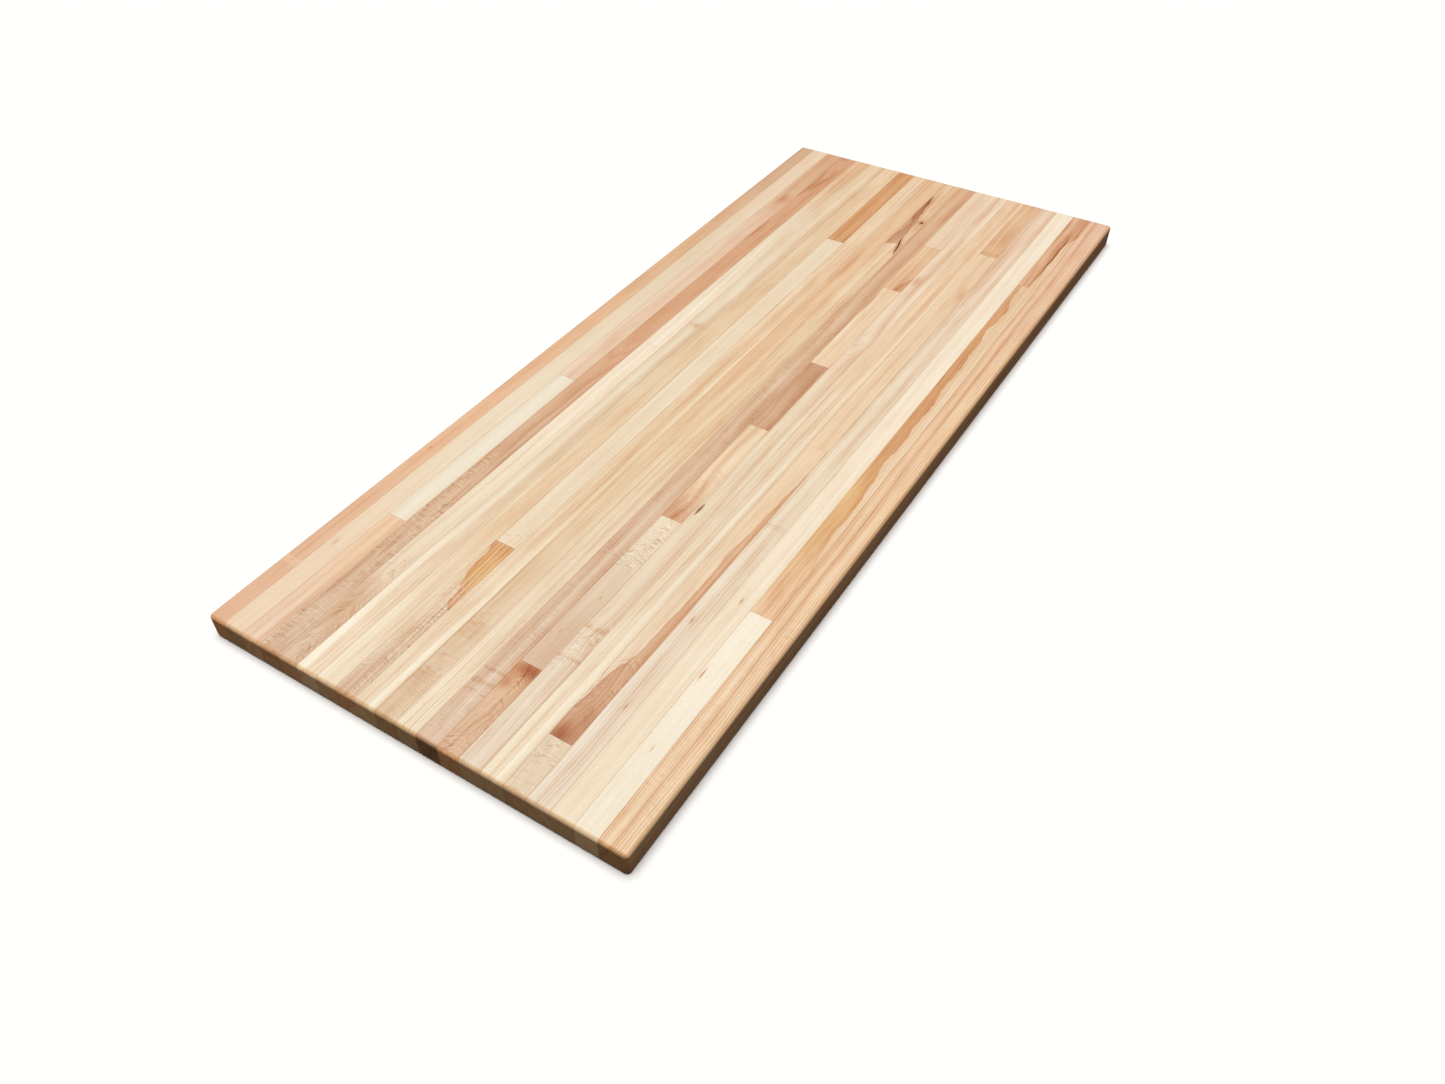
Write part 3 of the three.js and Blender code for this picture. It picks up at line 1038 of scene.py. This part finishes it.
class ButcherBlockShape(bpy.types.PropertyGroup):
    """Sizes of the finished slab's edges and seams."""

    corner_radius: bpy.props.FloatProperty(
        name="Corner Radius", description="Radius of the four upright corners",
        default=7.5 * MM, min=4 * MM, unit="LENGTH", precision=4)
    edge_radius: bpy.props.FloatProperty(
        name="Edge Radius", description="Roundover along the top and bottom edges",
        default=INCH / 4, min=0.5 * MM, unit="LENGTH", precision=4)
    edge_unevenness: bpy.props.FloatProperty(
        name="Edge Unevenness", description="How much the hand-eased roundover varies",
        default=0.35 * MM, min=0.0, unit="LENGTH", precision=5)
    seam_ease: bpy.props.FloatProperty(
        name="Seam Ease", description="Depth of the hair line at each glued edge",
        default=0.08 * MM, min=0.0, unit="LENGTH", precision=5)
    seam_closing: bpy.props.FloatProperty(
        name="Seam Closing", description="How far each glued face moves out to close the CAD gap",
        default=0.13 * MM, min=0.0, unit="LENGTH", precision=5)
    corner_rows: bpy.props.IntProperty(
        name="Corner Rows", description="Grid rows across each rounded zone", default=12, min=2)
    middle_rows: bpy.props.IntProperty(
        name="Middle Rows", description="Grid rows along the flat of a plank", default=12, min=2)


class ButcherBlockFinish(bpy.types.PropertyGroup):
    """Look of the planed and oiled maple."""

    roughness: bpy.props.FloatProperty(
        name="Roughness", description="Roughness of the oiled surface",
        default=0.48, min=0.0, max=1.0, subtype="FACTOR")
    grain_contrast: bpy.props.FloatProperty(
        name="Grain Contrast", description="How strongly the grain shows on every plank",
        default=1.0, min=0.0)
    # The rim is painted shade on the roundovers and over the sawn ends
    shade_rim_width: bpy.props.FloatProperty(
        name="Rim Width", description="How far the oil-darkened rim reaches in from the slab's edges",
        default=INCH / 4, min=0.0, unit="LENGTH", precision=4)
    grain_wander: bpy.props.FloatProperty(
        name="Grain Wander", description="How far the grain lines sway from straight",
        default=14 * MM, min=0.0, unit="LENGTH", precision=4)
    pore_depth: bpy.props.FloatProperty(
        name="Pore Depth", description="Height of the pore and fibre relief",
        default=0.12 * MM, min=0.0, unit="LENGTH", precision=5)
    pore_strength: bpy.props.FloatProperty(
        name="Pore Strength", description="How strongly the relief bends the light",
        default=0.35, min=0.0, max=1.0, subtype="FACTOR")


class ButcherBlockStudio(bpy.types.PropertyGroup):
    """Floor, light and camera."""

    floor_reach: bpy.props.FloatProperty(
        name="Floor Reach", description="Half the floor's side", default=30.0, unit="LENGTH")
    floor_colour: bpy.props.FloatVectorProperty(
        name="Floor Colour", description="Colour of the floor as seen",
        default=(0.93, 0.928, 0.922), subtype="COLOR", size=3, min=0, max=1)
    floor_bounce: bpy.props.FloatVectorProperty(
        name="Floor Bounce", description="Colour that the floor sends up onto the wood",
        default=(0.07, 0.045, 0.025), subtype="COLOR", size=3, min=0, max=1)
    backdrop_colour: bpy.props.FloatVectorProperty(
        name="Backdrop Colour", description="Colour beyond the floor",
        default=(0.97, 0.967, 0.96), subtype="COLOR", size=3, min=0, max=1)
    fill_colour: bpy.props.FloatVectorProperty(
        name="Fill Colour", description="Soft light from all round",
        default=(0.10, 0.075, 0.05), subtype="COLOR", size=3, min=0, max=1)
    key_strength: bpy.props.FloatProperty(
        name="Key Strength", description="Strength of the overhead soft light", default=3.2, min=0)
    key_softness: bpy.props.FloatProperty(
        name="Key Softness", description="Angle that the overhead light fills",
        default=math.radians(40), subtype="ANGLE")
    key_direction: bpy.props.FloatVectorProperty(
        name="Key Direction", description="Where the overhead light is",
        default=(-0.02, 0.03, 1.0), subtype="DIRECTION", size=3)
    lens: bpy.props.FloatProperty(
        name="Lens", description="Focal length in millimetres", default=27.88, min=1)
    shift: bpy.props.FloatVectorProperty(
        name="Shift", description="Sideways and upward shift of the lens",
        default=(0.0257, 0.0273), size=2)
    camera_place: bpy.props.FloatVectorProperty(
        name="Camera Place", description="Where the camera stands",
        default=(-1.4616, -0.8473, 1.2545), subtype="TRANSLATION", size=3)
    camera_turn: bpy.props.FloatVectorProperty(
        name="Camera Turn", description="How the camera is turned",
        default=[math.radians(angle) for angle in (44.385, 1.038, -57.018)], subtype="EULER", size=3)


class BUTCHERBLOCK_OT_full_staves(bpy.types.Operator):
    """Make the staves that are one board from end to end"""

    bl_idname = "butcher_block.full_staves"
    bl_label = "Full-Length Staves"

    def execute(self, context):
        make_planks(context, FULL_STAVES)
        return {"FINISHED"}


class BUTCHERBLOCK_OT_pieced_staves(bpy.types.Operator):
    """Make the shorter planks of the pieced staves"""

    bl_idname = "butcher_block.pieced_staves"
    bl_label = "Pieced Staves"

    def execute(self, context):
        make_planks(context, PIECED_PLANKS)
        return {"FINISHED"}


class BUTCHERBLOCK_OT_studio(bpy.types.Operator):
    """Make the floor, the light and the camera"""

    bl_idname = "butcher_block.studio"
    bl_label = "Studio"

    def execute(self, context):
        studio = context.scene.butcher_block_studio
        make_floor(studio)
        make_light("key_light", studio.key_strength, studio.key_direction, studio.key_softness)
        make_world(studio)
        make_camera(studio)
        context.scene.view_settings.view_transform = "Standard"
        return {"FINISHED"}


class VIEW3D_PT_butcher_block(bpy.types.Panel):
    """Sidebar panel that shows the settings and the buttons that build the pieces"""

    bl_label = "Butcher Block"
    bl_space_type = "VIEW_3D"
    bl_region_type = "UI"
    bl_category = "Butcher Block"

    def draw(self, context):
        layout = self.layout
        for settings in ("butcher_block_shape", "butcher_block_finish", "butcher_block_studio"):
            owner = getattr(context.scene, settings)
            column = layout.column()
            for name in owner.__annotations__:
                column.prop(owner, name)
        layout.operator("butcher_block.full_staves")
        layout.operator("butcher_block.pieced_staves")
        layout.operator("butcher_block.studio")


SETTINGS = {
    "butcher_block_shape": ButcherBlockShape,
    "butcher_block_finish": ButcherBlockFinish,
    "butcher_block_studio": ButcherBlockStudio,
}
CLASSES = (
    *SETTINGS.values(),
    BUTCHERBLOCK_OT_full_staves,
    BUTCHERBLOCK_OT_pieced_staves,
    BUTCHERBLOCK_OT_studio,
    VIEW3D_PT_butcher_block,
)


def register():
    for made in CLASSES:
        bpy.utils.register_class(made)
    for name, group in SETTINGS.items():
        setattr(bpy.types.Scene, name, bpy.props.PointerProperty(type=group))


def unregister():
    for name in SETTINGS:
        delattr(bpy.types.Scene, name)
    for made in reversed(CLASSES):
        bpy.utils.unregister_class(made)


def main():
    """Builds everything."""
    register()
    bpy.ops.butcher_block.studio()
    bpy.ops.butcher_block.full_staves()
    bpy.ops.butcher_block.pieced_staves()


if __name__ == "__main__":
    main()
